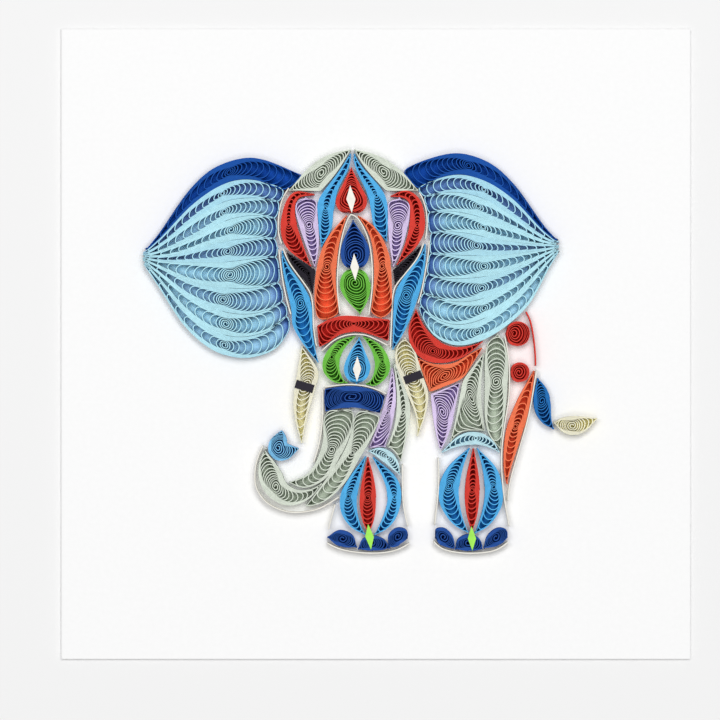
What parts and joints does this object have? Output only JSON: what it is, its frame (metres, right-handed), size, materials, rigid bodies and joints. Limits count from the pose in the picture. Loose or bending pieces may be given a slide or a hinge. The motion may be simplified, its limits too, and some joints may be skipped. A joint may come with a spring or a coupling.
{
  "type": "quilled greeting card",
  "caption": "Square folded card with a relief picture of a decorated elephant, made of coiled paper strips glued on edge to its front.",
  "frame": {"origin": "centre of the closed card's underside", "axes": "+X across the card's front to its free edge, +Y up the card's front, +Z out of the front, towards the tops of the coils"},
  "size_m": [0.1524, 0.1524, 0.0044],
  "materials": {
    "card_white": "matt",
    "paper_black": "matt",
    "paper_blue": "matt",
    "paper_cream": "matt",
    "paper_dark_blue": "matt",
    "paper_ear_blue": "matt",
    "paper_green": "matt",
    "paper_grey": "matt",
    "paper_lilac": "matt",
    "paper_lime": "matt",
    "paper_navy": "matt",
    "paper_orange": "matt",
    "paper_pale_blue": "matt",
    "paper_red": "matt",
    "paper_tail_blue": "matt",
    "paper_white": "matt"
  },
  "bodies": {
    "root": {"brows": "paper_grey", "cheeks": "paper_blue", "crown_drop": "paper_red", "eyes": "paper_black", "face_edging": "paper_white", "face_panels": "paper_orange", "flank_crescent": "paper_red", "flank_drop": "paper_lilac", "flank_triangle": "paper_orange", "folded_card": "card_white", "forehead_drop": "paper_dark_blue", "forehead_petals": "paper_blue", "green_diamonds": "paper_lime", "haunches": "paper_grey", "head_edging": "paper_white", "hind_leg_drop": "paper_orange", "knee_caps": "paper_pale_blue", "left_ear_crest": "paper_navy", "left_ear_lobe_1": "paper_ear_blue", "left_ear_lobe_2": "paper_ear_blue", "left_ear_lobe_3": "paper_ear_blue", "left_ear_lobe_4": "paper_ear_blue", "left_ear_lobe_5": "paper_ear_blue", "left_ear_lobe_6": "paper_ear_blue", "left_ear_lobe_7": "paper_ear_blue", "left_ear_lobe_8": "paper_ear_blue", "leg_edging": "paper_white", "leg_leaves": "paper_red", "leg_petals": "paper_blue", "nose_band": "paper_red", "nose_drop": "paper_green", "right_ear_crest": "paper_navy", "right_ear_lobe_1": "paper_ear_blue", "right_ear_lobe_2": "paper_ear_blue", "right_ear_lobe_3": "paper_ear_blue", "right_ear_lobe_4": "paper_ear_blue", "right_ear_lobe_5": "paper_ear_blue", "right_ear_lobe_6": "paper_ear_blue", "right_ear_lobe_7": "paper_ear_blue", "right_ear_lobe_8": "paper_ear_blue", "rump_coils": "paper_red", "rump_edging": "paper_red", "shoulder_drop": "paper_lilac", "shoulder_grey": "paper_grey", "tail_leaf": "paper_tail_blue", "tail_tuft": "paper_cream", "temple_crescents": "paper_red", "temple_drops": "paper_lilac", "toenails": "paper_dark_blue", "trunk_band": "paper_dark_blue", "trunk_crescents": "paper_green", "trunk_drop": "paper_blue", "trunk_edging": "paper_white", "trunk_end_coil": "paper_grey", "trunk_left_coil": "paper_grey", "trunk_right_coil": "paper_grey", "trunk_tip": "paper_pale_blue", "tusk_bands": "paper_black", "tusks": "paper_cream", "white_diamonds": "paper_white"}
  },
  "joints": []
}
